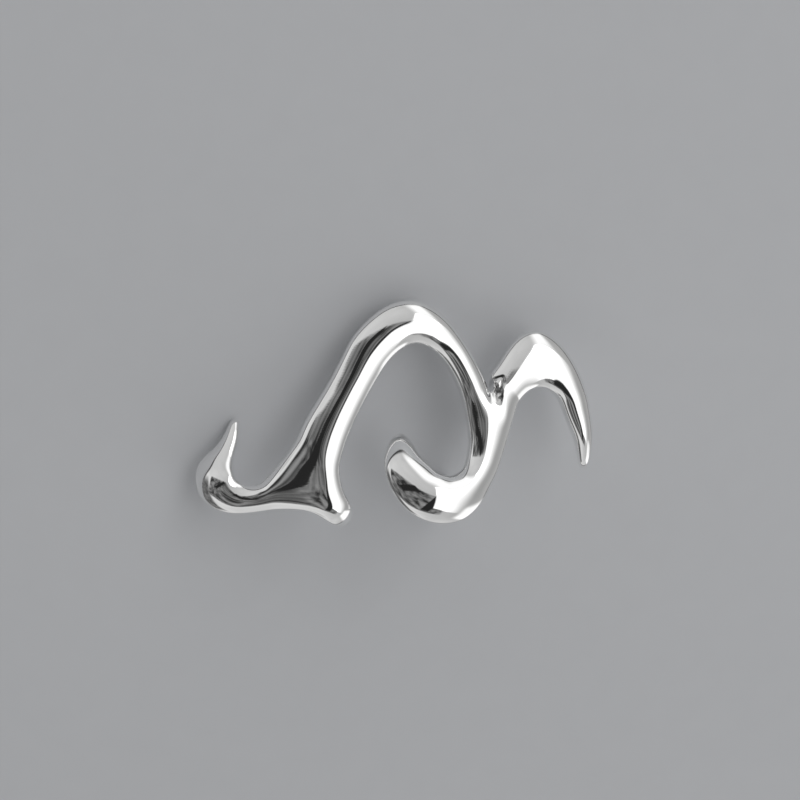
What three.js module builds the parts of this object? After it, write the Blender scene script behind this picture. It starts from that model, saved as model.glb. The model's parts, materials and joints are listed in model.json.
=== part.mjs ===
// Single-line grill, cast in silver as one piece: a scroll with a domed front and a flat back, bent round
// a curved row, and a plain clasp at its back. Millimetres, +Z up.
//
// The scroll is drawn flat: "along" runs round the row from the claw to the hook, "up" towards the arch's
// bend and "out" towards the domed front. It is then bent round the row, smoothed, and laid down on its
// fitting side, where it rests by itself on the claw, the bend of the arch and the clasp.
import * as THREE from 'three';

// The row that the flat back of the scroll follows is round up to one place along it, and straight after.
const ROW_RADIUS = 19.5;
const STRAIGHT_FROM = 4;

// Angles that lay the worn piece down: a turn about the upright axis, then a tip onto its back.
const TURN_DEGREES = -15.82;
const LAY_DEGREES = -114.195;

// Half of the stroke's section: across is in half widths of the stroke, out is in shares of its rise.
// The dome slopes down to a tight rim, and a wall drops from there to the flat back.
const CREST = { across: 0, out: 1 };
const SLOPE = { across: 0.62, out: 0.93 };
const RIM = { across: 1, out: 0.8 };
const WALL = { across: 1, out: 0.7 };
const HEEL = { across: 0.84, out: 0 };
const BACK = { across: 0, out: 0 };

// Rings for each row of a limb's table, how many rings before and after a ring give its heading, and how
// often the cage is smoothed. The long reach fans the rings out evenly round the tight bends.
const RINGS_PER_ROW = 2;
const HEADING_REACH = 5;
const SMOOTHING_ROUNDS = 1;

// Each limb is a table of sections from its root to its tip: the place of the stroke's middle, its width
// and how far it rises from the back. "point" is how far the tip reaches past the last section.
const section = (along, up, width, rise) => ({ along, up, width, rise });

const CLAW = {
  point: 0.06,
  rows: [
    section(-2.25, 1.07, 1.81, 1.45),
    section(-2.94, 0.78, 1.4, 1.35),
    section(-3.7, 0.69, 1.43, 1.35),
    section(-4.38, 0.84, 1.74, 1.5),
    section(-4.92, 1.24, 1.91, 1.65),
    section(-5.16, 1.93, 1.9, 1.6),
    section(-5.12, 2.63, 1.6, 1.35),
    section(-4.75, 3.26, 1.02, 1.05),
    section(-4.5, 3.91, 0.74, 0.8),
    section(-4.39, 4.57, 0.48, 0.58),
    section(-4.32, 4.77, 0.32, 0.4),
  ],
};

const FOOT = {
  point: 0.12,
  rows: [
    section(0.41, 0.42, 1.68, 1.6),
    section(0.87, -0.05, 1.38, 1.4),
    section(1.06, -0.32, 0.97, 1.05),
    section(1.19, -0.45, 0.58, 0.65),
  ],
};

const ARCH = {
  rows: [
    section(-0.18, 3.03, 2.31, 1.75),
    section(0.19, 4.14, 2.16, 1.72),
    section(1.0, 5.76, 1.97, 1.7),
    section(1.64, 7.02, 1.98, 1.72),
    section(2.19, 8.08, 2.11, 1.78),
    section(2.86, 8.88, 2.17, 1.87),
    section(3.62, 9.42, 2.29, 1.95),
    section(4.45, 9.54, 2.22, 2.0),
    section(5.34, 9.18, 1.86, 1.95),
    section(6.12, 8.47, 1.52, 1.85),
    section(6.77, 7.58, 1.4, 1.8),
    section(7.24, 6.68, 1.4, 1.75),
    section(7.53, 5.86, 1.44, 1.75),
  ],
};

const CURL = {
  point: 0.12,
  rows: [
    section(8.06, 3.68, 1.95, 1.8),
    section(7.85, 2.65, 1.76, 1.8),
    section(7.5, 1.83, 1.68, 1.9),
    section(6.96, 1.16, 2.06, 2.1),
    section(6.23, 0.71, 2.41, 2.25),
    section(5.37, 0.71, 2.53, 2.3),
    section(4.6, 1.09, 2.49, 2.2),
    section(4.07, 1.81, 2.26, 2.0),
    section(3.72, 2.58, 1.87, 1.7),
    section(3.7, 3.31, 1.39, 1.3),
    section(3.76, 3.78, 0.86, 0.95),
    section(3.86, 4.02, 0.43, 0.6),
  ],
};

const HOOK = {
  point: 0.08,
  rows: [
    section(8.92, 6.3, 2.01, 1.75),
    section(9.29, 6.81, 2.14, 1.8),
    section(9.85, 7.54, 2.69, 1.85),
    section(10.69, 7.92, 2.98, 1.85),
    section(11.55, 7.51, 2.38, 1.82),
    section(12.16, 6.79, 1.75, 1.78),
    section(12.44, 6.29, 1.49, 1.72),
    section(12.63, 5.83, 1.42, 1.65),
    section(12.83, 5.11, 1.29, 1.55),
    section(13.12, 4.11, 0.98, 1.4),
    section(13.22, 3.36, 0.74, 1.1),
    section(13.26, 2.79, 0.51, 0.8),
    section(13.3, 2.58, 0.33, 0.5),
  ],
};

// The two places where three limbs meet, each with the bottom of the web between two neighbouring limbs.
const FOOT_MEETING = {
  along: -0.1,
  up: 1.65,
  rise: 1.75,
  webs: {
    clawArch: { along: -1.61, up: 2.9 },
    archFoot: { along: 0.78, up: 2.02 },
    footClaw: { along: -0.77, up: 0.12 },
  },
};

const HOOK_MEETING = {
  along: 8.18,
  up: 4.68,
  rise: 1.85,
  webs: {
    archHook: { along: 8.4, up: 6.41 },
    hookCurl: { along: 9.44, up: 4.96 },
    curlArch: { along: 6.99, up: 4.9 },
  },
};

// The clasp: a flat strip that runs straight back from the curl and then stands up as a tongue.
const CLASP = {
  firstCurlRing: 7,
  columns: 5,
  along: 6.36,
  width: 1.68,
  underside: 0.12,
  seat: 0.75,
  grip: 3.05,
  tongueThickness: 0.7,
  // Depths behind the fitting side of the strip's sections before the tongue.
  floorDepths: [0.55, 1.3, 2.6],
  // Sections of the tongue: height, and how much each face draws in there.
  tongueRows: [
    { up: 1.2, drawIn: 0 },
    { up: 1.95, drawIn: 0.05 },
    { up: 2.4, drawIn: 0.15 },
  ],
};

const SILVER = new THREE.MeshStandardMaterial({ color: 0xe4e4e2, roughness: 0.06, metalness: 1 });

// The whole section, round from the crest over the right side, the back and the left side.
const mirrored = ({ across, out }) => ({ across: -across, out });
const RIGHT_SIDE = [SLOPE, RIM, WALL, HEEL];
const SECTION = [CREST, ...RIGHT_SIDE, BACK, ...RIGHT_SIDE.map(mirrored).reverse()];
const BACK_INDEX = SECTION.indexOf(BACK);
const LEFT_HEEL_INDEX = BACK_INDEX + 1;

// A closed cage of quads that the smooth surface is made from.
class Cage {
  points = [];

  quads = [];

  // Adds a point of the flat drawing, bent round the row, and returns its number.
  add(along, up, out) {
    const angle = Math.min(along, STRAIGHT_FROM) / ROW_RADIUS;
    const straight = Math.max(along - STRAIGHT_FROM, 0);
    const radius = ROW_RADIUS + out;
    const right = radius * Math.sin(angle) + straight * Math.cos(angle);
    const depth = ROW_RADIUS - radius * Math.cos(angle) + straight * Math.sin(angle);
    this.points.push(new THREE.Vector3(right, depth, up));
    return this.points.length - 1;
  }

  // Joins two closed rings with a band of quads, apart from the one that starts at the index left open.
  bridge(first, second, openIndex = -1) {
    first.forEach((corner, index) => {
      const next = (index + 1) % first.length;
      if (index !== openIndex) {
        this.quads.push([corner, first[next], second[next], second[index]]);
      }
    });
  }

  // Closes a ring with quads round one point.
  closeTip(ring, tip) {
    for (let index = 0; index < ring.length; index += 2) {
      this.quads.push([ring[index], ring[index + 1], ring[(index + 2) % ring.length], tip]);
    }
  }
}

// Middle, size and heading of the stroke at each ring of a limb, smoothed between the rows of its table.
function limbStations({ rows }) {
  const middles = rows.map(({ along, up }) => new THREE.Vector3(along, up, 0));
  const sizes = rows.map(({ width, rise }) => new THREE.Vector3(width, rise, 0));
  const steps = RINGS_PER_ROW * (rows.length - 1);
  const path = new THREE.CatmullRomCurve3(middles, false, 'catmullrom').getPoints(steps);
  const spread = new THREE.CatmullRomCurve3(sizes, false, 'catmullrom').getPoints(steps);
  return path.map((middle, step) => {
    const before = path[Math.max(step - HEADING_REACH, 0)];
    const after = path[Math.min(step + HEADING_REACH, steps)];
    const heading = after.clone().sub(before).normalize();
    return { middle, heading, width: spread[step].x, rise: spread[step].y };
  });
}

// Ring of the section at one station; right is a quarter turn clockwise from the heading.
function stationRing(cage, { middle, heading, width, rise }) {
  return SECTION.map(({ across, out }) => {
    const sideways = (across * width) / 2;
    return cage.add(middle.x + heading.y * sideways, middle.y - heading.x * sideways, out * rise);
  });
}

// Grows a limb from a ring of a meeting and returns its rings. Where isOpen holds for a ring, the strip of
// back on the left is left out between that ring and the next.
function growLimb(cage, firstRing, limb, isOpen = () => false) {
  const stations = limbStations(limb);
  const rings = stations.map((station) => stationRing(cage, station));
  [firstRing, ...rings.slice(0, -1)].forEach((ring, step) => {
    cage.bridge(ring, rings[step], isOpen(step - 1) ? BACK_INDEX : -1);
  });
  if (limb.point) {
    const { middle, heading, rise } = stations.at(-1);
    const end = middle.clone().addScaledVector(heading, limb.point);
    cage.closeTip(rings.at(-1), cage.add(end.x, end.y, rise * WALL.out));
  }
  return rings;
}

// Adds a meeting of three limbs: its crest, its back, and a seam from one to the other down each web.
function addMeeting(cage, { along, up, rise, webs }) {
  const seamTo = (web) => RIGHT_SIDE.map(({ across, out }) => {
    const seamAlong = THREE.MathUtils.lerp(along, web.along, across);
    const seamUp = THREE.MathUtils.lerp(up, web.up, across);
    return cage.add(seamAlong, seamUp, out * rise);
  });
  const seams = Object.fromEntries(Object.entries(webs).map(([name, web]) => [name, seamTo(web)]));
  return { crest: cage.add(along, up, rise), back: cage.add(along, up, 0), seams };
}

// Ring of a meeting that one limb grows from, between the web on its right and the web on its left.
function rootRing({ crest, back, seams }, right, left) {
  return [crest, ...seams[right], back, ...seams[left].toReversed()];
}

// Low and high edges of the clasp's sections, from the curl's back to the end of the tongue.
function claspSections() {
  const { underside, seat, grip, tongueThickness, floorDepths, tongueRows } = CLASP;
  const farSide = grip + tongueThickness;
  const floor = floorDepths.map((depth) => ({
    low: { up: underside, depth },
    high: { up: seat, depth },
  }));
  const corner = { low: { up: underside, depth: farSide }, high: { up: seat, depth: grip } };
  const tongue = tongueRows.map(({ up, drawIn }) => ({
    low: { up, depth: farSide - drawIn },
    high: { up, depth: grip + drawIn },
  }));
  return [...floor, corner, ...tongue];
}

// Grows the clasp out of the gap left in the curl's back.
function growClasp(cage, curlRings) {
  const { firstCurlRing, columns, along, width } = CLASP;
  const columnAlong = (column) => along + width * (0.5 - column / (columns - 1));
  const addEdge = ({ up, depth }) => (
    Array.from({ length: columns }, (_, column) => cage.add(columnAlong(column), up, -depth))
  );
  const roots = curlRings.slice(firstCurlRing, firstCurlRing + columns);
  let low = roots.map((ring) => ring[LEFT_HEEL_INDEX]);
  let high = roots.map((ring) => ring[BACK_INDEX]);
  for (const edges of claspSections()) {
    const nextLow = addEdge(edges.low);
    const nextHigh = addEdge(edges.high);
    cage.bridge([...low, ...high.toReversed()], [...nextLow, ...nextHigh.toReversed()]);
    low = nextLow;
    high = nextHigh;
  }
  for (let column = 0; column < columns - 1; column += 1) {
    cage.quads.push([low[column], low[column + 1], high[column + 1], high[column]]);
  }
}

// The cage of the whole casting, as it is worn.
function buildCage() {
  const cage = new Cage();
  const footMeeting = addMeeting(cage, FOOT_MEETING);
  const hookMeeting = addMeeting(cage, HOOK_MEETING);
  const isUnderClasp = (ring) => (
    ring >= CLASP.firstCurlRing && ring < CLASP.firstCurlRing + CLASP.columns - 1
  );

  growLimb(cage, rootRing(footMeeting, 'clawArch', 'footClaw'), CLAW);
  growLimb(cage, rootRing(footMeeting, 'footClaw', 'archFoot'), FOOT);
  const archRings = growLimb(cage, rootRing(footMeeting, 'archFoot', 'clawArch'), ARCH);
  cage.bridge(archRings.at(-1), rootRing(hookMeeting, 'curlArch', 'archHook'));
  growLimb(cage, rootRing(hookMeeting, 'hookCurl', 'archHook'), HOOK);
  const curlRings = growLimb(cage, rootRing(hookMeeting, 'curlArch', 'hookCurl'), CURL, isUnderClasp);
  growClasp(cage, curlRings);
  return cage;
}

const average = (vectors) => (
  vectors.reduce((sum, vector) => sum.add(vector), new THREE.Vector3()).divideScalar(vectors.length)
);

// One round of Catmull-Clark smoothing of a closed cage of quads.
function smooth({ points, quads }) {
  const middles = quads.map((quad) => average(quad.map((corner) => points[corner])));
  const edges = new Map();
  const pointFaces = points.map(() => []);
  const pointEdges = points.map(() => []);
  const edgeKey = (a, b) => `${Math.min(a, b)} ${Math.max(a, b)}`;

  quads.forEach((quad, face) => {
    quad.forEach((corner, side) => {
      const next = quad[(side + 1) % quad.length];
      const key = edgeKey(corner, next);
      if (!edges.has(key)) {
        edges.set(key, { ends: [corner, next], faces: [], number: edges.size });
        pointEdges[corner].push(key);
        pointEdges[next].push(key);
      }
      edges.get(key).faces.push(face);
      pointFaces[corner].push(face);
    });
  });

  const edgeEnds = ({ ends }) => ends.map((end) => points[end]);
  const edgePoints = [...edges.values()].map((edge) => (
    average([...edgeEnds(edge), ...edge.faces.map((face) => middles[face])])
  ));
  const movedPoints = points.map((point, number) => {
    const valence = pointFaces[number].length;
    const faceMean = average(pointFaces[number].map((face) => middles[face]));
    const edgeMean = average(pointEdges[number].map((key) => average(edgeEnds(edges.get(key)))));
    return point.clone().multiplyScalar(valence - 3).addScaledVector(edgeMean, 2).add(faceMean)
      .divideScalar(valence);
  });

  const firstEdge = points.length;
  const firstMiddle = firstEdge + edgePoints.length;
  const edgeNumber = (a, b) => firstEdge + edges.get(edgeKey(a, b)).number;
  const smallQuads = quads.flatMap((quad, face) => quad.map((corner, side) => {
    const next = quad[(side + 1) % quad.length];
    const previous = quad.at(side - 1);
    return [corner, edgeNumber(corner, next), firstMiddle + face, edgeNumber(previous, corner)];
  }));
  return { points: [...movedPoints, ...edgePoints, ...middles], quads: smallQuads };
}

// Triangles of the quads, each cut along its shorter diagonal.
function toGeometry({ points, quads }) {
  const triangles = quads.flatMap(([a, b, c, d]) => {
    const firstDiagonal = points[a].distanceTo(points[c]);
    const secondDiagonal = points[b].distanceTo(points[d]);
    return firstDiagonal <= secondDiagonal ? [a, b, c, a, c, d] : [a, b, d, b, c, d];
  });
  const geometry = new THREE.BufferGeometry().setFromPoints(points);
  geometry.setIndex(triangles);
  geometry.computeVertexNormals();
  return geometry;
}

function buildScroll() {
  let surface = buildCage();
  for (let round = 0; round < SMOOTHING_ROUNDS; round += 1) {
    surface = smooth(surface);
  }
  const scroll = new THREE.Mesh(toGeometry(surface), SILVER);
  scroll.name = 'grill_scroll';
  return scroll;
}

// Lays the worn piece down and sets it on the ground, with the middle of its box over the origin.
function layDown(piece) {
  const turned = new THREE.Group();
  turned.rotation.z = THREE.MathUtils.degToRad(TURN_DEGREES);
  turned.add(piece);
  const laid = new THREE.Group();
  laid.rotation.x = THREE.MathUtils.degToRad(LAY_DEGREES);
  laid.add(turned);
  const box = new THREE.Box3().setFromObject(laid, true);
  const centre = box.getCenter(new THREE.Vector3());
  laid.position.set(-centre.x, -centre.y, -box.min.z);
  return laid;
}

const grill = new THREE.Group();
grill.add(layDown(buildScroll()));

export default grill;
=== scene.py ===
"""Looks of the single-line silver grill: its cast scroll, and the studio and camera that show it.

The scroll is drawn flat in millimetres, in the same way as its solid. "along" runs round the row from the
claw to the hook, "up" towards the arch's bend, and "out" towards the domed front. A cage of quads is bent
round the row, rounded by a subdivision surface, worked over as a hand-finished casting is, and laid down
where the frame holds the solid.
"""
import json
import logging
import math
from dataclasses import dataclass
from enum import Enum
from typing import NamedTuple

import bpy
import numpy as np
from mathutils import Matrix, Vector, noise


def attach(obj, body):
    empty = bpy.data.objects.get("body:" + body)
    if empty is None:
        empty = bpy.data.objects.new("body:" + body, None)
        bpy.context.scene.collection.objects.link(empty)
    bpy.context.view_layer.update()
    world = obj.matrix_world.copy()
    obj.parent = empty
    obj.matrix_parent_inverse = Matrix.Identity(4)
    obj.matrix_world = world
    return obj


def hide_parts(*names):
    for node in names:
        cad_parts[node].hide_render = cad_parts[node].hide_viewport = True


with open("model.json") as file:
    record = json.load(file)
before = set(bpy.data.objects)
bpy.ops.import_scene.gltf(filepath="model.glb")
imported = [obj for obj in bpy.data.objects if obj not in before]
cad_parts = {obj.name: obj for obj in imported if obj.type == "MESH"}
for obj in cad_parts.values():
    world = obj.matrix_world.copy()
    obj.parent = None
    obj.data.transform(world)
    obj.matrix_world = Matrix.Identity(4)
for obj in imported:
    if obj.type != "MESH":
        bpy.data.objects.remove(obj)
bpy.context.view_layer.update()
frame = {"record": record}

LOG = logging.getLogger("silver_grill")

Colour = tuple[float, float, float, float]
Span = tuple[float, float]

# Metres: one millimetre, and how far every light and card is from the piece.
MM = 0.001
SOFTBOX_DISTANCE = 0.3
# Shares of a panel: its middle, and how much of it a plain edge takes to fade out.
MIDDLE = 0.5
PLAIN_FADE = 0.05
# Values between which most of a cloudy noise lies.
NOISE_SPAN: Span = (0.35, 0.65)
# Least and most brightness of a black card.
BLACK_CARD: Span = (0.02, 0.02)


class Web(Enum):
    """Webs of the casting, each between two neighbouring limbs."""

    CLAW_ARCH = "claw to arch"
    ARCH_FOOT = "arch to foot"
    FOOT_CLAW = "foot to claw"
    ARCH_HOOK = "arch to hook"
    HOOK_CURL = "hook to curl"
    CURL_ARCH = "curl to arch"


class Mark(Enum):
    """Point attributes that tell the finish where it changes."""

    FITTING = "fitting_side"
    CREASE = "crease"


class MixKind(Enum):
    """Kinds of mix node: Blender's name, the inputs' numbers (share, first, second) and the output's."""

    NUMBER = ("FLOAT", (0, 2, 3), 0)
    COLOUR = ("RGBA", (0, 6, 7), 2)


class Clouds(NamedTuple):
    """Cloudy noise: how many clouds fit in a unit of its coordinates, and its number of finer layers."""

    scale: float
    detail: float


class Corner(NamedTuple):
    """Corner of the stroke's profile: across in half widths of the stroke, out in shares of its rise."""

    across: float
    out: float


class Section(NamedTuple):
    """Section of a limb: the place of the stroke's middle, its width and its rise, in millimetres."""

    along: float
    up: float
    width: float
    rise: float


class Spot(NamedTuple):
    """Place in the flat drawing, in millimetres."""

    along: float
    up: float


class Station(NamedTuple):
    """Place, heading and size of the stroke at one ring of a limb."""

    middle: np.ndarray
    heading: np.ndarray
    width: float
    rise: float


@dataclass(frozen=True)
class Limb:
    """Limb of the scroll, as sections from its root to its end.

    Attributes:
        rows: Sections in order from the root.
        point: How far the tip reaches past the last section; None for a limb that runs into a meeting.
    """

    rows: tuple[Section, ...]
    point: float | None = None


@dataclass(frozen=True)
class Meeting:
    """Place where three limbs meet, with the bottom of the web between each two of them.

    Attributes:
        middle: Where the crests of the limbs come together.
        rise: Height of the crest there.
        webs: Bottom of each web.
    """

    middle: Spot
    rise: float
    webs: dict[Web, Spot]


@dataclass(frozen=True)
class StrokeProfile:
    """Half of the stroke's section: a dome that slopes to a tight rim, and a wall down to the flat back."""

    crest: Corner = Corner(0.0, 1.0)
    slope: Corner = Corner(0.62, 0.93)
    rim: Corner = Corner(1.0, 0.8)
    wall: Corner = Corner(1.0, 0.7)
    heel: Corner = Corner(0.84, 0.0)
    back: Corner = Corner(0.0, 0.0)

    def right_side(self) -> tuple[Corner, ...]:
        """Gives the corners between the crest and the back."""
        return self.slope, self.rim, self.wall, self.heel

    def ring(self) -> tuple[Corner, ...]:
        """Gives the whole section: crest, right side, back, and left side upwards."""
        left_side = tuple(Corner(-corner.across, corner.out) for corner in reversed(self.right_side()))
        return (self.crest, *self.right_side(), self.back, *left_side)

    def back_index(self) -> int:
        """Gives the place of the back in the whole section."""
        return self.ring().index(self.back)


@dataclass(frozen=True)
class Row:
    """Row that the flat back follows: round up to one place along it, and straight after.

    Attributes:
        radius: Radius of the round part, in millimetres.
        straight_from: Distance along the row where the straight part begins.
    """

    radius: float = 19.5
    straight_from: float = 4.0

    def bend(self, along: float, up: float, out: float) -> Vector:
        """Bends a point of the flat drawing round the row.

        Args:
            along: Distance along the row.
            up: Height.
            out: Distance in front of the row.

        Returns:
            The point in the worn position: X to the right, Y away from the viewer, Z up.
        """
        angle = min(along, self.straight_from) / self.radius
        straight = max(along - self.straight_from, 0.0)
        radius = self.radius + out
        right = radius * math.sin(angle) + straight * math.cos(angle)
        depth = self.radius - radius * math.cos(angle) + straight * math.sin(angle)
        return Vector((right, depth, up))

    def unbend(self, worn: np.ndarray) -> np.ndarray:
        """Turns points back into the flat drawing.

        Args:
            worn: Points in the worn position, one a row.

        Returns:
            Along, up and out of each point.
        """
        from_axis = worn[:, :2] - np.array([0.0, self.radius])
        angle = np.arctan2(from_axis[:, 0], -from_axis[:, 1])
        angle = np.minimum(angle, self.straight_from / self.radius)
        straight = from_axis[:, 0] * np.cos(angle) + from_axis[:, 1] * np.sin(angle)
        out = from_axis[:, 0] * np.sin(angle) - from_axis[:, 1] * np.cos(angle) - self.radius
        return np.column_stack([angle * self.radius + straight, worn[:, 2], out])


class Cage:
    """Closed cage of quads in the worn position, in millimetres."""

    def __init__(self, row: Row) -> None:
        """Starts an empty cage that is bent round the row."""
        self.row = row
        self.points: list[Vector] = []
        self.quads: list[tuple[int, ...]] = []

    def add(self, along: float, up: float, out: float) -> int:
        """Adds a point of the flat drawing, bent round the row.

        Args:
            along: Distance along the row.
            up: Height.
            out: Distance in front of the row.

        Returns:
            The point's number.
        """
        self.points.append(self.row.bend(along, up, out))
        return len(self.points) - 1

    def bridge(self, first: list[int], second: list[int], open_index: int | None = None) -> None:
        """Joins two closed rings with a band of quads.

        Args:
            first: Numbers of the first ring's points.
            second: Numbers of the second ring's points.
            open_index: Place in the ring whose quad is left out.
        """
        for index, corner in enumerate(first):
            following = (index + 1) % len(first)
            if index != open_index:
                self.quads.append((corner, first[following], second[following], second[index]))

    def close_tip(self, ring: list[int], tip: int) -> None:
        """Closes a ring with quads round one point.

        Args:
            ring: Numbers of the ring's points.
            tip: Number of the point that the quads share.
        """
        for index in range(0, len(ring), 2):
            self.quads.append((ring[index], ring[index + 1], ring[(index + 2) % len(ring)], tip))


def smooth_path(knots: np.ndarray, steps: int) -> np.ndarray:
    """Samples a Catmull-Rom curve through the knots, evenly in its parameter.

    Args:
        knots: One knot a row.
        steps: Number of steps from the first knot to the last.

    Returns:
        One sample a row, steps + 1 in all.
    """
    ends = np.vstack([2 * knots[0] - knots[1], knots, 2 * knots[-1] - knots[-2]])
    samples = []
    for place in np.linspace(0, len(knots) - 1, steps + 1):
        piece = min(int(place), len(knots) - 2)
        share = place - piece
        before, start, end, after = ends[piece:piece + 4]
        start_slope = (end - before) / 2
        end_slope = (after - start) / 2
        cubic = 2 * start - 2 * end + start_slope + end_slope
        square = 3 * end - 3 * start - 2 * start_slope - end_slope
        samples.append(start + share * (start_slope + share * (square + share * cubic)))
    return np.array(samples)


def eased(values: np.ndarray, low: float, high: float) -> np.ndarray:
    """Rises smoothly from 0 at low to 1 at high.

    Args:
        values: Numbers to ease.
        low: Value that gives 0.
        high: Value that gives 1.

    Returns:
        The eased numbers.
    """
    share = np.clip((values - low) / (high - low), 0.0, 1.0)
    return share * share * (3 - 2 * share)


@dataclass(frozen=True)
class RestingPose:
    """How the worn piece is laid down on its fitting side.

    Attributes:
        turn_degrees: Turn about the upright axis, made first.
        lay_degrees: Tip onto the back, made second.
    """

    turn_degrees: float = -15.82
    lay_degrees: float = -114.195

    def rotation(self) -> Matrix:
        """Gives the turn and the tip as one rotation."""
        turn = Matrix.Rotation(math.radians(self.turn_degrees), 4, "Z")
        return Matrix.Rotation(math.radians(self.lay_degrees), 4, "X") @ turn

    def placement(self, worn: Vector, laid: Vector) -> Matrix:
        """Gives the move that lays the piece down and brings one of its points to its place in the frame.

        Args:
            worn: The point as worn, in metres.
            laid: The same point in the frame.

        Returns:
            The move.
        """
        rotation = self.rotation()
        return Matrix.Translation(laid - rotation @ worn) @ rotation


class NodeSheet:
    """Node tree of a material, a light or the room, laid out a node at a time."""

    def __init__(self, owner: bpy.types.ID, shader: str) -> None:
        """Takes over the owner's nodes and keeps its shader at hand."""
        owner.use_nodes = True
        self.tree = owner.node_tree
        self.shader = self.tree.nodes[shader]

    @classmethod
    def material(cls, name: str) -> "tuple[bpy.types.Material, NodeSheet]":
        """Starts a material with a principled shader."""
        material = bpy.data.materials.new(name)
        return material, cls(material, "Principled BSDF")

    def add(self, kind: str, inputs: dict[str, object] | None = None, **settings: object) -> bpy.types.Node:
        """Adds a node.

        Args:
            kind: Blender's name for the kind of node.
            inputs: A number or a socket to link for each named input.
            settings: Values for the node's own properties.

        Returns:
            The node.
        """
        node = self.tree.nodes.new(kind)
        for name, value in settings.items():
            setattr(node, name, value)
        for name, value in (inputs or {}).items():
            self.feed(node.inputs[name], value)
        return node

    def feed(self, socket: bpy.types.NodeSocket, value: object) -> None:
        """Links an input to another node's output, or sets it to a plain value.

        Args:
            socket: The input.
            value: An output socket, a number or a colour.
        """
        if isinstance(value, bpy.types.NodeSocket):
            self.tree.links.new(value, socket)
        else:
            socket.default_value = value

    def millimetres(self, stretch: tuple[float, float, float] = (1.0, 1.0, 1.0)) -> bpy.types.NodeSocket:
        """Gives the piece's own coordinates in millimetres.

        Args:
            stretch: How often the pattern repeats along each axis, as a share of the plain scale.

        Returns:
            The coordinates' socket.
        """
        place = self.add("ShaderNodeTexCoord")
        scale = [share / MM for share in stretch]
        return self.add("ShaderNodeMapping", {"Vector": place.outputs["Object"], "Scale": scale}).outputs[0]

    def noise(self, clouds: Clouds, coordinates: bpy.types.NodeSocket) -> bpy.types.NodeSocket:
        """Adds a cloudy noise.

        Args:
            clouds: Size and layers of the noise.
            coordinates: Coordinates that it is laid out in.

        Returns:
            The noise's socket, from 0 to 1.
        """
        inputs = {"Vector": coordinates, "Scale": clouds.scale, "Detail": clouds.detail}
        return self.add("ShaderNodeTexNoise", inputs).outputs["Fac"]

    def ranged(self, value: bpy.types.NodeSocket, source: Span, target: Span,
               kind: str = "LINEAR") -> bpy.types.NodeSocket:
        """Spreads a value from one range over another.

        Args:
            value: The value's socket.
            source: The two values taken in.
            target: What these become.
            kind: Blender's name for the kind of interpolation.

        Returns:
            The new value's socket.
        """
        inputs = {"Value": value, "From Min": source[0], "From Max": source[1],
                  "To Min": target[0], "To Max": target[1]}
        return self.add("ShaderNodeMapRange", inputs, interpolation_type=kind).outputs["Result"]

    def faded(self, from_edge: bpy.types.NodeSocket, fade: float) -> bpy.types.NodeSocket:
        """Rises smoothly from 0 at an edge to 1 where its fade ends.

        Args:
            from_edge: Socket of the distance from the edge.
            fade: Distance over which the edge fades out.

        Returns:
            The share's socket.
        """
        return self.ranged(from_edge, (0.0, fade), (0.0, 1.0), "SMOOTHSTEP")

    def math(self, operation: str, *values: object) -> bpy.types.NodeSocket:
        """Adds a sum of Blender's.

        Args:
            operation: Blender's name for the sum.
            values: Numbers or sockets that it takes.

        Returns:
            The result's socket.
        """
        node = self.add("ShaderNodeMath", operation=operation)
        for socket, value in zip(node.inputs, values):
            self.feed(socket, value)
        return node.outputs[0]

    def dot(self, vector: bpy.types.NodeSocket, direction: Vector) -> bpy.types.NodeSocket:
        """Gives how far a vector reaches in a fixed direction.

        Args:
            vector: The vector's socket.
            direction: The direction.

        Returns:
            The length's socket.
        """
        node = self.add("ShaderNodeVectorMath", operation="DOT_PRODUCT")
        self.feed(node.inputs[0], vector)
        self.feed(node.inputs[1], direction)
        return node.outputs["Value"]

    def mark(self, mark: Mark) -> bpy.types.NodeSocket:
        """Reads one of the piece's point attributes."""
        return self.add("ShaderNodeAttribute", attribute_name=mark.value).outputs["Fac"]

    def product(self, first: object, second: object) -> bpy.types.NodeSocket:
        """Multiplies two numbers or sockets.

        Args:
            first: A number or a socket.
            second: A number or a socket.

        Returns:
            The product's socket.
        """
        return self.math("MULTIPLY", first, second)

    def mixed(self, share: bpy.types.NodeSocket, first: object, second: object,
              kind: MixKind = MixKind.NUMBER) -> bpy.types.NodeSocket:
        """Mixes two numbers or colours.

        Args:
            share: How much of the second is taken.
            first: A value or a socket.
            second: A value or a socket.
            kind: Whether they are numbers or colours.

        Returns:
            The mix's socket.
        """
        data_type, inputs, output = kind.value
        node = self.add("ShaderNodeMix", data_type=data_type)
        for index, value in zip(inputs, (share, first, second)):
            self.feed(node.inputs[index], value)
        return node.outputs[output]


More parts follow.
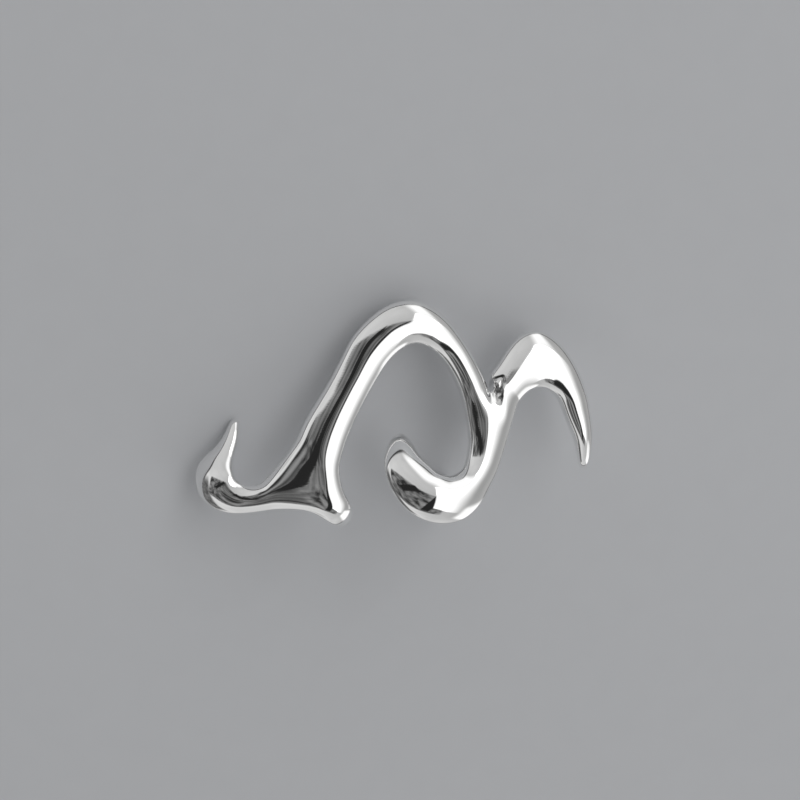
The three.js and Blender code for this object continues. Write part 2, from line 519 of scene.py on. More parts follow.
@dataclass(frozen=True)
class PolishedSilver:
    """Mirror polish with faint wheel marks, a satin fitting side, and dull metal in the notch's creases.

    Attributes:
        silver: Colour of the bare metal.
        oxide: Colour of the metal where polish never reaches.
        polish: Least and most roughness of the polished front.
        polish_clouds: Clouds of that roughness, in a millimetre.
        polish_span: Values of these clouds that give the least and the most roughness.
        satin: Least and most roughness of the fitting side.
        grain: Clouds of the fitting side's cast grain, in a millimetre.
        grain_span: Values of the grain that give the least and the most roughness.
        grain_depth: Depth of the grain, in metres.
        wheel_marks: Clouds of the marks that the polishing wheel leaves, in a millimetre.
        wheel_stretch: How often these repeat along each axis, as a share of the plain scale.
        wheel_mark_depth: Depth of the marks, in metres.
    """

    silver: Colour = (0.93, 0.93, 0.925, 1.0)
    oxide: Colour = (0.2, 0.195, 0.19, 1.0)
    polish: Span = (0.02, 0.07)
    polish_clouds: Clouds = Clouds(scale=0.8, detail=4.0)
    polish_span: Span = (0.35, 0.68)
    satin: Span = (0.24, 0.36)
    grain: Clouds = Clouds(scale=9.0, detail=3.0)
    grain_span: Span = (0.3, 0.7)
    grain_depth: float = 6e-6
    wheel_marks: Clouds = Clouds(scale=6.0, detail=2.0)
    wheel_stretch: tuple[float, float, float] = (0.25, 3.0, 1.0)
    wheel_mark_depth: float = 4e-7

    def material(self) -> bpy.types.Material:
        """Lays out the finish's nodes."""
        material, sheet = NodeSheet.material("polished_silver")
        fitting = sheet.mark(Mark.FITTING)
        crease = sheet.mark(Mark.CREASE)
        place = sheet.millimetres()
        clouds = sheet.noise(self.polish_clouds, place)
        grain = sheet.noise(self.grain, place)
        wheel_marks = sheet.noise(self.wheel_marks, sheet.millimetres(self.wheel_stretch))

        colour = sheet.mixed(crease, self.silver, self.oxide, MixKind.COLOUR)
        sheet.feed(sheet.shader.inputs["Base Color"], colour)
        polish = sheet.ranged(clouds, self.polish_span, self.polish)
        satin = sheet.ranged(grain, self.grain_span, self.satin)
        sheet.feed(sheet.shader.inputs["Roughness"], sheet.mixed(fitting, polish, satin))
        sheet.feed(sheet.shader.inputs["Metallic"], 1.0)

        height = sheet.mixed(fitting, sheet.product(wheel_marks, self.wheel_mark_depth),
                             sheet.product(grain, self.grain_depth))
        bump = sheet.add("ShaderNodeBump", {"Height": height, "Distance": 1.0, "Strength": 1.0})
        sheet.feed(sheet.shader.inputs["Normal"], bump.outputs["Normal"])
        return material


@dataclass(frozen=True)
class PaleFloorPaint:
    """Matt pale paint with a barely visible roller texture.

    Attributes:
        light: Colour where the texture is lightest.
        shade: Colour where it is darkest.
        texture: Clouds of the texture, in a millimetre.
        roughness: Roughness of the paint.
        gloss: Strength of its mirror-like part.
    """

    light: Colour = (0.63, 0.64, 0.66, 1.0)
    shade: Colour = (0.61, 0.62, 0.64, 1.0)
    texture: Clouds = Clouds(scale=0.6, detail=3.0)
    roughness: float = 0.7
    gloss: float = 0.2

    def material(self) -> bpy.types.Material:
        """Lays out the paint's nodes."""
        material, sheet = NodeSheet.material("pale_floor_paint")
        texture = sheet.noise(self.texture, sheet.millimetres())
        colour = sheet.mixed(texture, self.light, self.shade, MixKind.COLOUR)
        sheet.feed(sheet.shader.inputs["Base Color"], colour)
        sheet.feed(sheet.shader.inputs["Roughness"], self.roughness)
        sheet.feed(sheet.shader.inputs["Specular IOR Level"], self.gloss)
        return material


@dataclass(frozen=True)
class Clasp:
    """Flat strip that runs straight back from the curl and then stands up as a tongue.

    Attributes:
        first_curl_ring: First ring of the curl whose back the strip grows from.
        columns: Points across the strip.
        along: Middle of the strip.
        width: Width of the strip.
        underside: Height of the strip's lower face.
        seat: Height of the strip's upper face.
        seat_depth: Depth of the middle of the flat seat behind the fitting side.
        grip: Depth of the tongue's near face.
        tongue_thickness: Thickness of the tongue.
        floor_depths: Depths of the strip's sections before the tongue.
        tongue_rows: Height of each of the tongue's sections, and how much each face draws in there.
    """

    first_curl_ring: int = 7
    columns: int = 5
    along: float = 6.36
    width: float = 1.68
    underside: float = 0.12
    seat: float = 0.75
    seat_depth: float = 1.95
    grip: float = 3.05
    tongue_thickness: float = 0.7
    floor_depths: tuple[float, ...] = (0.55, 1.3, 2.6)
    tongue_rows: tuple[tuple[float, float], ...] = ((1.2, 0.0), (1.95, 0.05), (2.4, 0.15))

    def covers(self, ring: int) -> bool:
        """Says whether the strip grows from the back between this ring of the curl and the next."""
        return self.first_curl_ring <= ring < self.first_curl_ring + self.columns - 1

    def sections(self) -> list[tuple[Spot, Spot]]:
        """Gives each section's low and high edge, as depth and height, from the curl's back to the end."""
        far_side = self.grip + self.tongue_thickness
        strip = [(Spot(depth, self.underside), Spot(depth, self.seat)) for depth in self.floor_depths]
        corner = (Spot(far_side, self.underside), Spot(self.grip, self.seat))
        tongue = [(Spot(far_side - draw_in, up), Spot(self.grip + draw_in, up))
                  for up, draw_in in self.tongue_rows]
        return [*strip, corner, *tongue]

    def edge(self, cage: Cage, spot: Spot) -> list[int]:
        """Adds the points across the strip at one depth and height.

        Args:
            cage: Cage that the points are added to.
            spot: Depth behind the fitting side, and height.

        Returns:
            The points' numbers, from the strip's right side.
        """
        places = np.linspace(self.along + self.width / 2, self.along - self.width / 2, self.columns)
        return [cage.add(place, spot.up, -spot.along) for place in places]

    def grow(self, cage: Cage, low: list[int], high: list[int]) -> None:
        """Grows the strip and the tongue out of the gap left in the curl's back.

        Args:
            cage: Cage that holds the curl.
            low: Points along the lower side of the gap.
            high: Points along its upper side.
        """
        for low_spot, high_spot in self.sections():
            next_low = self.edge(cage, low_spot)
            next_high = self.edge(cage, high_spot)
            cage.bridge([*low, *reversed(high)], [*next_low, *reversed(next_high)])
            low, high = next_low, next_high
        for column in range(self.columns - 1):
            cage.quads.append((low[column], low[column + 1], high[column + 1], high[column]))


@dataclass(frozen=True)
class Crease:
    """Line along which the metal is pressed in.

    Attributes:
        ends: Its two ends, in the flat drawing.
        depths: Depth at either end, in millimetres.
        half_width: How far it spreads to either side, in millimetres.
    """

    ends: tuple[Spot, Spot]
    depths: Span
    half_width: float

    def depth(self, drawn: np.ndarray) -> np.ndarray:
        """Works out how far each point is pressed in.

        Args:
            drawn: Places in the flat drawing: along, up and out, one point a row.

        Returns:
            The depths in millimetres.
        """
        start, end = (np.array(spot) for spot in self.ends)
        strip = end - start
        share = np.clip((drawn[:, :2] - start) @ strip / (strip @ strip), 0.0, 1.0)
        distance = np.linalg.norm(drawn[:, :2] - start - share[:, None] * strip, axis=1)
        return np.interp(share, (0.0, 1.0), self.depths) * (1 - eased(distance, 0.0, self.half_width))


@dataclass(frozen=True)
class HandWork:
    """Unevenness of a piece carved in wax, cast and polished by hand, all of which takes metal away.

    Attributes:
        long_wave: Length and height of the slow swell of the surface, in millimetres.
        short_wave: Length and height of the quicker ripple, in millimetres.
        valley: Soft dip between the arch and the hook, under the notch.
        fold: Sharp creases of the crumpled metal in the notch.
        dull_depth: Depth of a sharp crease where polish no longer reaches, in millimetres.
    """

    long_wave: Span = (2.1, 0.012)
    short_wave: Span = (0.75, 0.0022)
    valley: Crease = Crease(
        ends=(Spot(8.36, 6.0), Spot(8.64, 4.4)), depths=(0.11, 0.0), half_width=0.5)
    fold: tuple[Crease, ...] = (
        Crease(ends=(Spot(8.27, 6.72), Spot(8.77, 6.91)), depths=(0.05, 0.02), half_width=0.12),
        Crease(ends=(Spot(8.77, 6.91), Spot(8.61, 6.06)), depths=(0.02, 0.06), half_width=0.12),
        Crease(ends=(Spot(8.27, 6.72), Spot(8.61, 6.06)), depths=(0.04, 0.06), half_width=0.1),
        Crease(ends=(Spot(8.36, 6.14), Spot(8.48, 5.71)), depths=(0.06, 0.04), half_width=0.12),
        Crease(ends=(Spot(8.48, 5.71), Spot(8.66, 5.84)), depths=(0.04, 0.03), half_width=0.1),
    )
    dull_depth: float = 0.09

    def lift(self, drawn: np.ndarray) -> np.ndarray:
        """Works out how far each point of the front moves outwards.

        Args:
            drawn: Places in the flat drawing: along, up and out, one point a row.

        Returns:
            The moves in millimetres, none of them outwards.
        """
        moves = -self.valley.depth(drawn) - self.fold_depth(drawn)
        for length, height in (self.long_wave, self.short_wave):
            moves += [height * (noise.noise(Vector(point / length)) - 1) for point in drawn]
        return moves

    def fold_depth(self, drawn: np.ndarray) -> np.ndarray:
        """Gives the depth of the fold's creases at each point, in millimetres."""
        return np.max([crease.depth(drawn) for crease in self.fold], axis=0)

    def creased(self, drawn: np.ndarray) -> np.ndarray:
        """Gives each point's share of dull metal, from 0 on the open front to 1 at the dull depth."""
        return np.clip(self.fold_depth(drawn) / self.dull_depth, 0.0, 1.0)


@dataclass
class Scroll:
    """The whole casting: claw, foot, arch, curl and hook in one line, with the clasp behind the curl.

    Attributes:
        row: Row that the flat back follows.
        rings_per_row: Rings of the cage for each row of a limb's table.
        heading_reach: How many rings before and after a ring give its heading.
        rounding_levels: Levels of the subdivision surface.
        fitting_from: How far in front of the flat back the satin of the fitting side begins to fade in.
        profile: Section of the stroke.
        clasp: Clasp behind the curl.
        hand_work: Unevenness of the finished surface.
        claw: Limb at the left end, from the foot's meeting.
        foot: Short limb that points down.
        arch: Limb from the foot's meeting to the hook's.
        curl: Limb that turns back under the arch.
        hook: Limb at the right end.
        foot_meeting: Where claw, foot and arch meet.
        hook_meeting: Where arch, hook and curl meet.
    """

    row: Row = Row()
    rings_per_row: int = 2
    heading_reach: int = 5
    rounding_levels: int = 3
    fitting_from: float = 0.3
    profile: StrokeProfile = StrokeProfile()
    clasp: Clasp = Clasp()
    hand_work: HandWork = HandWork()
    claw: Limb = Limb(point=0.06, rows=(
        Section(along=-2.25, up=1.07, width=1.81, rise=1.45),
        Section(along=-2.94, up=0.78, width=1.4, rise=1.35),
        Section(along=-3.7, up=0.69, width=1.43, rise=1.35),
        Section(along=-4.38, up=0.84, width=1.74, rise=1.5),
        Section(along=-4.92, up=1.24, width=1.91, rise=1.65),
        Section(along=-5.16, up=1.93, width=1.9, rise=1.6),
        Section(along=-5.12, up=2.63, width=1.6, rise=1.35),
        Section(along=-4.75, up=3.26, width=1.02, rise=1.05),
        Section(along=-4.5, up=3.91, width=0.74, rise=0.8),
        Section(along=-4.39, up=4.57, width=0.48, rise=0.58),
        Section(along=-4.32, up=4.77, width=0.32, rise=0.4),
    ))
    foot: Limb = Limb(point=0.12, rows=(
        Section(along=0.41, up=0.42, width=1.68, rise=1.6),
        Section(along=0.87, up=-0.05, width=1.38, rise=1.4),
        Section(along=1.06, up=-0.32, width=0.97, rise=1.05),
        Section(along=1.19, up=-0.45, width=0.58, rise=0.65),
    ))
    arch: Limb = Limb(rows=(
        Section(along=-0.18, up=3.03, width=2.31, rise=1.75),
        Section(along=0.19, up=4.14, width=2.16, rise=1.72),
        Section(along=1.0, up=5.76, width=1.97, rise=1.7),
        Section(along=1.64, up=7.02, width=1.98, rise=1.72),
        Section(along=2.19, up=8.08, width=2.11, rise=1.78),
        Section(along=2.86, up=8.88, width=2.17, rise=1.87),
        Section(along=3.62, up=9.42, width=2.29, rise=1.95),
        Section(along=4.45, up=9.54, width=2.22, rise=2.0),
        Section(along=5.34, up=9.18, width=1.86, rise=1.95),
        Section(along=6.12, up=8.47, width=1.52, rise=1.85),
        Section(along=6.77, up=7.58, width=1.4, rise=1.8),
        Section(along=7.24, up=6.68, width=1.4, rise=1.75),
        Section(along=7.53, up=5.86, width=1.44, rise=1.75),
    ))
    curl: Limb = Limb(point=0.12, rows=(
        Section(along=8.06, up=3.68, width=1.95, rise=1.8),
        Section(along=7.85, up=2.65, width=1.76, rise=1.8),
        Section(along=7.5, up=1.83, width=1.68, rise=1.9),
        Section(along=6.96, up=1.16, width=2.06, rise=2.1),
        Section(along=6.23, up=0.71, width=2.41, rise=2.25),
        Section(along=5.37, up=0.71, width=2.53, rise=2.3),
        Section(along=4.6, up=1.09, width=2.49, rise=2.2),
        Section(along=4.07, up=1.81, width=2.26, rise=2.0),
        Section(along=3.72, up=2.58, width=1.87, rise=1.7),
        Section(along=3.7, up=3.31, width=1.39, rise=1.3),
        Section(along=3.76, up=3.78, width=0.86, rise=0.95),
        Section(along=3.86, up=4.02, width=0.43, rise=0.6),
    ))
    hook: Limb = Limb(point=0.08, rows=(
        Section(along=8.92, up=6.3, width=2.01, rise=1.75),
        Section(along=9.29, up=6.81, width=2.14, rise=1.8),
        Section(along=9.85, up=7.54, width=2.69, rise=1.85),
        Section(along=10.69, up=7.92, width=2.98, rise=1.85),
        Section(along=11.55, up=7.51, width=2.38, rise=1.82),
        Section(along=12.16, up=6.79, width=1.75, rise=1.78),
        Section(along=12.44, up=6.29, width=1.49, rise=1.72),
        Section(along=12.63, up=5.83, width=1.42, rise=1.65),
        Section(along=12.83, up=5.11, width=1.29, rise=1.55),
        Section(along=13.12, up=4.11, width=0.98, rise=1.4),
        Section(along=13.22, up=3.36, width=0.74, rise=1.1),
        Section(along=13.26, up=2.79, width=0.51, rise=0.8),
        Section(along=13.3, up=2.58, width=0.33, rise=0.5),
    ))
    foot_meeting: Meeting = Meeting(middle=Spot(-0.1, 1.65), rise=1.75, webs={
        Web.CLAW_ARCH: Spot(-1.61, 2.9),
        Web.ARCH_FOOT: Spot(0.78, 2.02),
        Web.FOOT_CLAW: Spot(-0.77, 0.12),
    })
    hook_meeting: Meeting = Meeting(middle=Spot(8.18, 4.68), rise=1.85, webs={
        Web.ARCH_HOOK: Spot(8.4, 6.41),
        Web.HOOK_CURL: Spot(9.44, 4.96),
        Web.CURL_ARCH: Spot(6.99, 4.9),
    })

    def stations(self, limb: Limb) -> list[Station]:
        """Works out the stroke at each ring of a limb, smoothed between the rows of its table.

        Args:
            limb: The limb.

        Returns:
            The stations from the limb's root to its end.
        """
        steps = self.rings_per_row * (len(limb.rows) - 1)
        samples = smooth_path(np.array(limb.rows), steps)
        stations = []
        for step, (along, up, width, rise) in enumerate(samples):
            before = samples[max(step - self.heading_reach, 0), :2]
            after = samples[min(step + self.heading_reach, steps), :2]
            heading = after - before
            heading /= np.linalg.norm(heading)
            stations.append(Station(np.array([along, up]), heading, width, rise))
        return stations

    def station_ring(self, cage: Cage, station: Station) -> list[int]:
        """Adds the ring of the stroke's profile at one station.

        Args:
            cage: Cage that the ring is added to.
            station: The station.

        Returns:
            The numbers of the ring's points.
        """
        right = np.array([station.heading[1], -station.heading[0]])
        ring = []
        for corner in self.profile.ring():
            along, up = station.middle + right * corner.across * station.width / 2
            ring.append(cage.add(along, up, corner.out * station.rise))
        return ring

    def grow_limb(self, cage: Cage, root: list[int], limb: Limb,
                  clasp: Clasp | None = None) -> list[list[int]]:
        """Grows a limb from a ring of a meeting.

        Args:
            cage: Cage that the limb is added to.
            root: Ring of the meeting.
            limb: The limb.
            clasp: Clasp that grows from the limb's back, where a gap is left for it.

        Returns:
            The limb's rings from its root to its end.
        """
        stations = self.stations(limb)
        rings = [self.station_ring(cage, station) for station in stations]
        back_index = self.profile.back_index()
        for step, ring in enumerate(rings):
            before = rings[step - 1] if step else root
            is_open = clasp is not None and clasp.covers(step - 1)
            cage.bridge(before, ring, back_index if is_open else None)
        if limb.point is not None:
            last = stations[-1]
            along, up = last.middle + last.heading * limb.point
            cage.close_tip(rings[-1], cage.add(along, up, last.rise * self.profile.wall.out))
        return rings

    def seam(self, cage: Cage, meeting: Meeting, web: Web) -> list[int]:
        """Adds the points that run from a meeting's crest down one of its webs to the back.

        Args:
            cage: Cage that the points are added to.
            meeting: The meeting.
            web: The web.

        Returns:
            The points' numbers, without the crest and the back.
        """
        middle = np.array(meeting.middle)
        bottom = np.array(meeting.webs[web])
        points = []
        for corner in self.profile.right_side():
            along, up = middle + (bottom - middle) * corner.across
            points.append(cage.add(along, up, corner.out * meeting.rise))
        return points

    def root_rings(self, cage: Cage, meeting: Meeting, sides: list[tuple[Web, Web]]) -> list[list[int]]:
        """Adds a meeting and gives the ring that each of its limbs grows from.

        Args:
            cage: Cage that the meeting is added to.
            meeting: The meeting.
            sides: The webs on the right and on the left of each limb.

        Returns:
            One ring for each limb.
        """
        seams = {web: self.seam(cage, meeting, web) for web in meeting.webs}
        crest = cage.add(*meeting.middle, meeting.rise)
        back = cage.add(*meeting.middle, 0.0)
        return [[crest, *seams[right], back, *reversed(seams[left])] for right, left in sides]

    def cage(self) -> Cage:
        """Builds the cage of the whole casting, as it is worn."""
        cage = Cage(self.row)
        claw_root, foot_root, arch_root = self.root_rings(cage, self.foot_meeting, [
            (Web.CLAW_ARCH, Web.FOOT_CLAW),
            (Web.FOOT_CLAW, Web.ARCH_FOOT),
            (Web.ARCH_FOOT, Web.CLAW_ARCH),
        ])
        arch_end, hook_root, curl_root = self.root_rings(cage, self.hook_meeting, [
            (Web.CURL_ARCH, Web.ARCH_HOOK),
            (Web.HOOK_CURL, Web.ARCH_HOOK),
            (Web.CURL_ARCH, Web.HOOK_CURL),
        ])
        self.grow_limb(cage, claw_root, self.claw)
        self.grow_limb(cage, foot_root, self.foot)
        cage.bridge(self.grow_limb(cage, arch_root, self.arch)[-1], arch_end)
        self.grow_limb(cage, hook_root, self.hook)
        curl_rings = self.grow_limb(cage, curl_root, self.curl, self.clasp)

        under_clasp = curl_rings[self.clasp.first_curl_ring:][:self.clasp.columns]
        back_index = self.profile.back_index()
        low = [ring[back_index + 1] for ring in under_clasp]
        high = [ring[back_index] for ring in under_clasp]
        self.clasp.grow(cage, low, high)
        return cage

    def seat_middle(self) -> Vector:
        """Gives the middle of the clasp's flat seat as worn, in metres."""
        return self.row.bend(self.clasp.along, self.clasp.seat, -self.clasp.seat_depth) * MM

    def rounded_mesh(self) -> bpy.types.Mesh:
        """Rounds the cage with a subdivision surface, still in the worn position and in millimetres."""
        cage = self.cage()
        rough = bpy.data.meshes.new("scroll_cage")
        rough.from_pydata(cage.points, [], cage.quads)
        blank = bpy.data.objects.new("scroll_cage", rough)
        bpy.context.scene.collection.objects.link(blank)
        rounding = blank.modifiers.new("rounding", "SUBSURF")
        rounding.levels = self.rounding_levels
        rounding.use_limit_surface = False
        evaluated = blank.evaluated_get(bpy.context.evaluated_depsgraph_get())
        rounded = bpy.data.meshes.new_from_object(evaluated)
        bpy.data.objects.remove(blank)
        bpy.data.meshes.remove(rough)
        return rounded

    def build(self, pose: RestingPose, seat: Vector) -> bpy.types.Object:
        """Builds the casting where the frame holds its solid.

        Args:
            pose: How the worn piece is laid down.
            seat: Middle of the clasp's flat seat in the frame.

        Returns:
            The piece.
        """
        mesh = self.rounded_mesh()
        mesh.name = "silver_scroll"
        worn = np.empty(len(mesh.vertices) * 3, np.float32)
        normals = np.empty(len(mesh.vertices) * 3, np.float32)
        mesh.vertices.foreach_get("co", worn)
        mesh.vertices.foreach_get("normal", normals)
        worn = worn.reshape(-1, 3).astype(float)
        normals = normals.reshape(-1, 3).astype(float)

        drawn = self.row.unbend(worn)
        front = eased(drawn[:, 2], 0.0, self.fitting_from)
        worn += normals * (self.hand_work.lift(drawn) * front)[:, None]
        mesh.vertices.foreach_set("co", (worn * MM).astype(np.float32).ravel())
        self.write_mark(mesh, Mark.FITTING, 1 - front)
        self.write_mark(mesh, Mark.CREASE, self.hand_work.creased(drawn) * front)
        mesh.transform(pose.placement(self.seat_middle(), seat))
        mesh.shade_smooth()

        piece = bpy.data.objects.new("silver_scroll", mesh)
        bpy.context.scene.collection.objects.link(piece)
        return piece

    @staticmethod
    def write_mark(mesh: bpy.types.Mesh, mark: Mark, values: np.ndarray) -> None:
        """Writes one of the marks that the finish reads.

        Args:
            mesh: Mesh of the piece.
            mark: The mark.
            values: One number for each point.
        """
        attribute = mesh.attributes.new(mark.value, "FLOAT", "POINT")
        attribute.data.foreach_set("value", values.astype(np.float32))

    @staticmethod
    def dress(piece: bpy.types.Object, finish: PolishedSilver) -> None:
        """Gives the piece its finish."""
        piece.data.materials.append(finish.material())


@dataclass(frozen=True)
class PhotoCamera:
    """Camera in front of the worn piece and a little below it, carried along as the piece is laid down.

    Attributes:
        aim: Point of the worn piece's front plane that the camera looks at, in millimetres.
        below_degrees: How far below the level of the aim the camera stands.
        distance: Distance from the aim, in millimetres.
        lens: Focal length on the sensor, in millimetres.
        sensor: Width of the sensor, in millimetres.
        reach: Farthest distance that is drawn, in metres.
    """

    aim: Spot = Spot(3.85, 5.75)
    below_degrees: float = 7.0
    distance: float = 140.0
    lens: float = 126.0
    sensor: float = 36.0
    reach: float = 10.0

    def axes(self, pose: RestingPose) -> Matrix:
        """Gives the camera's right, up and backward directions as the columns of a rotation.

        Args:
            pose: How the worn piece is laid down.

        Returns:
            The rotation.
        """
        below = math.radians(self.below_degrees)
        right = Vector((1.0, 0.0, 0.0))
        up = Vector((0.0, -math.sin(below), math.cos(below)))
        backward = Vector((0.0, -math.cos(below), -math.sin(below)))
        return pose.rotation().to_3x3() @ Matrix((right, up, backward)).transposed()

    def build(self, pose: RestingPose, placement: Matrix) -> bpy.types.Object:
        """Sets up the camera.

        Args:
            pose: How the worn piece is laid down.
            placement: Move from the worn position into the frame.

        Returns:
            The camera.
        """
        axes = self.axes(pose)
        aim = placement @ (Vector((self.aim.along, 0.0, self.aim.up)) * MM)
        lens = bpy.data.cameras.new("photo_camera")
        lens.lens = self.lens
        lens.sensor_width = self.sensor
        lens.clip_start = MM
        lens.clip_end = self.reach
        camera = bpy.data.objects.new("photo_camera", lens)
        camera.matrix_world = Matrix.Translation(aim + axes.col[2] * self.distance * MM) @ axes.to_4x4()
        bpy.context.scene.collection.objects.link(camera)
        bpy.context.scene.camera = camera
        return camera


class Bearing(NamedTuple):
    """Direction from the piece, given by where the camera would see it.

    off_axis is the angle from the direction of the camera, and clock the direction in the picture,
    anticlockwise from its right, both in degrees.
    """

    off_axis: float
    clock: float

    def direction(self, axes: Matrix) -> Vector:
        """Gives the direction in the frame, from the camera's axes."""
        off_axis = math.radians(self.off_axis)
        clock = math.radians(self.clock)
        sideways = axes.col[0] * math.cos(clock) + axes.col[1] * math.sin(clock)
        return axes.col[2] * math.cos(off_axis) + sideways * math.sin(off_axis)


@dataclass(frozen=True, kw_only=True)
class Panel:
    """Rectangle that faces the piece at the softboxes' distance.

    Attributes:
        bearing: Where its middle is.
        width: Width across the picture, in metres.
        height: Height, in metres.
        turn: Turn in its own plane, from the width towards the height, in degrees.
        fade: Share of the width and of the height over which each edge fades out.
    """

    bearing: Bearing
    width: float
    height: float
    turn: float = 0.0
    fade: float = PLAIN_FADE

    def facing(self, axes: Matrix) -> Matrix:
        """Gives the panel's axes.

        Args:
            axes: The camera's axes.

        Returns:
            Along its width, along its height and away from the piece, as the columns of a rotation.
        """
        away = self.bearing.direction(axes)
        across = axes.col[1].cross(away).normalized()
        upright = Matrix((across, away.cross(across), away)).transposed()
        return Matrix.Rotation(math.radians(self.turn), 3, away) @ upright


@dataclass(frozen=True, kw_only=True)
class Softbox(Panel):
    """Light with a cloth front.

    Attributes:
        name: What the light does.
        radiance: Brightness of its middle, where 1 is white.
        right_fade: Share of the width over which its right side fades out.
    """

    name: str
    radiance: float
    right_fade: float = PLAIN_FADE

    def build(self, axes: Matrix) -> bpy.types.Object:
        """Sets up the light.

        Args:
            axes: The camera's axes.

        Returns:
            The light.
        """
        facing = self.facing(axes)
        box = bpy.data.lights.new(self.name, "AREA")
        box.shape = "RECTANGLE"
        box.size = self.width
        box.size_y = self.height
        box.energy = self.radiance * math.pi * self.width * self.height
        self.fade_edges(box)
        light = bpy.data.objects.new(self.name, box)
        light.matrix_world = Matrix.Translation(facing.col[2] * SOFTBOX_DISTANCE) @ facing.to_4x4()
        light.visible_camera = False
        bpy.context.scene.collection.objects.link(light)
        return light

    def fade_edges(self, box: bpy.types.AreaLight) -> None:
        """Makes the light's face fade towards its edges, as a cloth front does."""
        sheet = NodeSheet(box, "Emission")
        place = sheet.add("ShaderNodeNewGeometry").outputs["Parametric"]
        sides = sheet.add("ShaderNodeSeparateXYZ", {"Vector": place})
        from_left = sides.outputs["X"]
        from_right = sheet.math("SUBTRACT", 1.0, from_left)
        from_ends = sheet.math("PINGPONG", sides.outputs["Y"], MIDDLE)
        strength = sheet.faded(from_right, self.right_fade)
        for from_edge in (from_left, from_ends):
            strength = sheet.product(strength, sheet.faded(from_edge, self.fade))
        sheet.feed(sheet.shader.inputs["Strength"], strength)


@dataclass(frozen=True, kw_only=True)
class Patch(Panel):
    """Part of the tent with a brightness of its own: an opening, or a card hung before the cloth.

    Attributes:
        light: Least and most brightness of what is seen there.
    """

    light: Span

    def cover(self, sheet: NodeSheet, towards: bpy.types.NodeSocket, axes: Matrix) -> bpy.types.NodeSocket:
        """Works out where the patch takes the place of the cloth.

        Args:
            sheet: The room's nodes.
            towards: Socket of the direction that is looked in.
            axes: The camera's axes.

        Returns:
            Socket of the patch's share.
        """
        across, upright, away = self.facing(axes).col
        depth = sheet.dot(towards, away)
        share = sheet.math("GREATER_THAN", depth, 0.0)
        for direction, size in ((across, self.width), (upright, self.height)):
            aside = sheet.math("DIVIDE", sheet.dot(towards, direction), depth)
            from_middle = sheet.product(sheet.math("ABSOLUTE", aside), SOFTBOX_DISTANCE / size)
            from_edge = sheet.math("SUBTRACT", MIDDLE, from_middle)
            share = sheet.product(share, sheet.faded(from_edge, self.fade))
        return share


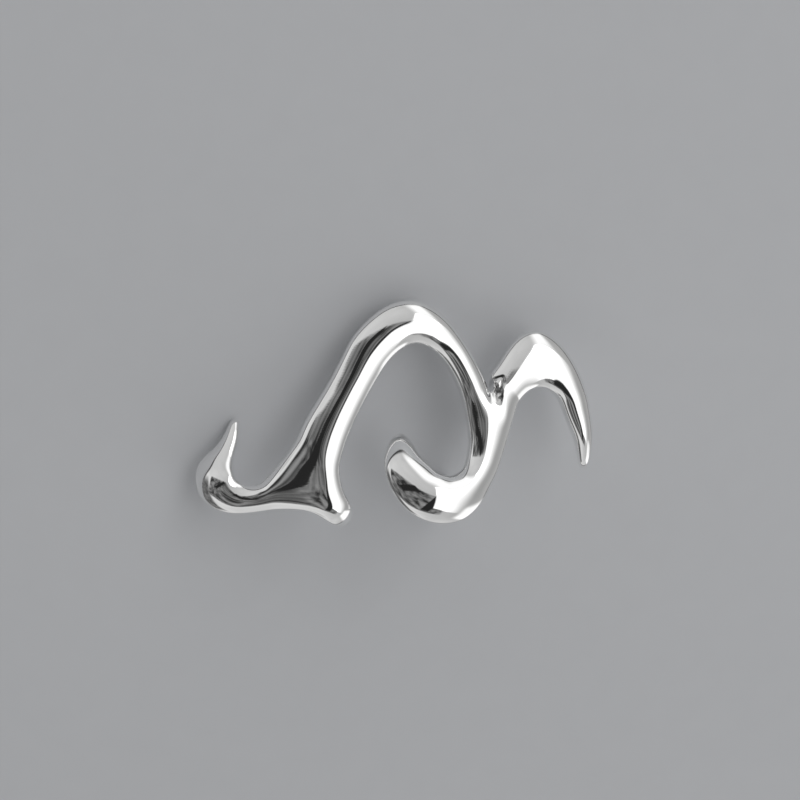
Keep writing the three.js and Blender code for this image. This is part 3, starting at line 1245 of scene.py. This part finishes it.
@dataclass
class Studio:
    """Pale floor under a light tent with dark openings and cards, lit by softboxes.

    Attributes:
        floor_half_width: Half of the floor's width, in metres.
        tent: Brightness of the tent's cloth in the direction of the camera.
        tent_slope: How much brighter the cloth is straight to the right and straight up in the picture.
        cloth: Least and most share of the tent's brightness that uneven cloth leaves.
        cloth_clouds: Clouds of the cloth.
        clutter: Clouds of what is seen in the openings.
        skirting: Elevations between which the dark skirting at the tent's foot ends, in degrees.
        skirting_light: Share of the tent's brightness that the skirting has.
        patches: Parts of the tent that aren't lit cloth, each laid over the ones before.
        softboxes: The lights.
    """

    floor_half_width: float = 1.5
    tent: float = 0.58
    tent_slope: Span = (-0.2, -0.04)
    cloth: Span = (0.9, 1.08)
    cloth_clouds: Clouds = Clouds(scale=1.6, detail=2.0)
    clutter: Clouds = Clouds(scale=7.0, detail=3.0)
    skirting: Span = (1.6, 5.0)
    skirting_light: float = 0.11
    patches: tuple[Patch, ...] = (
        Patch(bearing=Bearing(66, 200), width=0.22, height=0.7, fade=0.25, light=(0.08, 0.2)),
        Patch(bearing=Bearing(12, 194), width=0.52, height=0.33, turn=-18, fade=0.08, light=(0.03, 0.27)),
        Patch(bearing=Bearing(18, 132.5), width=0.18, height=0.046, turn=26, fade=0.08, light=BLACK_CARD),
        Patch(bearing=Bearing(12.5, -20), width=0.06, height=0.34, turn=-31, fade=0.1, light=BLACK_CARD),
    )
    softboxes: tuple[Softbox, ...] = (
        Softbox(name="key_softbox", bearing=Bearing(41, 6), width=0.28, height=0.37, turn=-16,
                right_fade=0.8, radiance=1.1),
        Softbox(name="low_panel", bearing=Bearing(90, -37), width=0.43, height=0.23,
                fade=0.25, right_fade=0.25, radiance=0.67),
        Softbox(name="top_softbox", bearing=Bearing(61, 60), width=0.17, height=0.3,
                fade=0.35, right_fade=0.35, radiance=0.6),
    )

    def build_floor(self, paint: PaleFloorPaint) -> bpy.types.Object:
        """Lays the floor that the piece rests on.

        Args:
            paint: Finish of the floor.

        Returns:
            The floor.
        """
        half = self.floor_half_width
        corners = [(-half, -half, 0), (half, -half, 0), (half, half, 0), (-half, half, 0)]
        mesh = bpy.data.meshes.new("pale_floor")
        mesh.from_pydata(corners, [], [(0, 1, 2, 3)])
        mesh.materials.append(paint.material())
        floor = bpy.data.objects.new("pale_floor", mesh)
        bpy.context.scene.collection.objects.link(floor)
        return floor

    def build_room(self, axes: Matrix) -> bpy.types.World:
        """Sets up the room, and gives the picture its plain tones.

        Args:
            axes: The camera's axes.

        Returns:
            The room.
        """
        room = bpy.data.worlds.new("light_tent")
        sheet = NodeSheet(room, "Background")
        towards = sheet.add("ShaderNodeTexCoord").outputs["Generated"]
        cloth = sheet.noise(self.cloth_clouds, towards)
        clutter = sheet.noise(self.clutter, towards)
        slope = axes.col[0] * self.tent_slope[0] + axes.col[1] * self.tent_slope[1]
        light = sheet.math("ADD", sheet.dot(towards, slope), self.tent)
        light = sheet.product(light, sheet.ranged(cloth, NOISE_SPAN, self.cloth))
        skirting = tuple(math.sin(math.radians(elevation)) for elevation in self.skirting)
        height = sheet.dot(towards, Vector((0.0, 0.0, 1.0)))
        shares = (self.skirting_light, 1.0)
        light = sheet.product(light, sheet.ranged(height, skirting, shares, "SMOOTHSTEP"))
        for patch in self.patches:
            inside = sheet.ranged(clutter, NOISE_SPAN, patch.light)
            light = sheet.mixed(patch.cover(sheet, towards, axes), light, inside)
        sheet.feed(sheet.shader.inputs["Strength"], light)
        sheet.feed(sheet.shader.inputs["Color"], (1.0, 1.0, 1.0, 1.0))
        bpy.context.scene.world = room
        bpy.context.scene.view_settings.view_transform = "Standard"
        return room

    def build_lights(self, axes: Matrix) -> list[bpy.types.Object]:
        """Sets up the softboxes.

        Args:
            axes: The camera's axes.

        Returns:
            The lights.
        """
        return [softbox.build(axes) for softbox in self.softboxes]


def main() -> None:
    """Builds the casting, the studio and the camera, and ties the casting to the frame."""
    logging.basicConfig(level=logging.INFO, format="%(message)s")
    pose = RestingPose()
    scroll = Scroll()
    mounts = {mount["name"]: mount for mount in frame["record"]["mounts"]}
    seat = Vector(mounts["edge_seat"]["pos_m"])

    piece = scroll.build(pose, seat)
    scroll.dress(piece, PolishedSilver())
    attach(piece, "root")
    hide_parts("grill_scroll")
    LOG.info("%s: %d faces", piece.name, len(piece.data.polygons))

    camera = PhotoCamera()
    camera.build(pose, pose.placement(scroll.seat_middle(), seat))
    LOG.info("photo_camera: %g mm lens", camera.lens)

    studio = Studio()
    axes = camera.axes(pose)
    studio.build_room(axes)
    floor = studio.build_floor(PaleFloorPaint())
    LOG.info("%s: %g m wide", floor.name, 2 * studio.floor_half_width)
    lights = studio.build_lights(axes)
    LOG.info("softboxes: %s", ", ".join(light.name for light in lights))


if __name__ == "__main__":
    main()
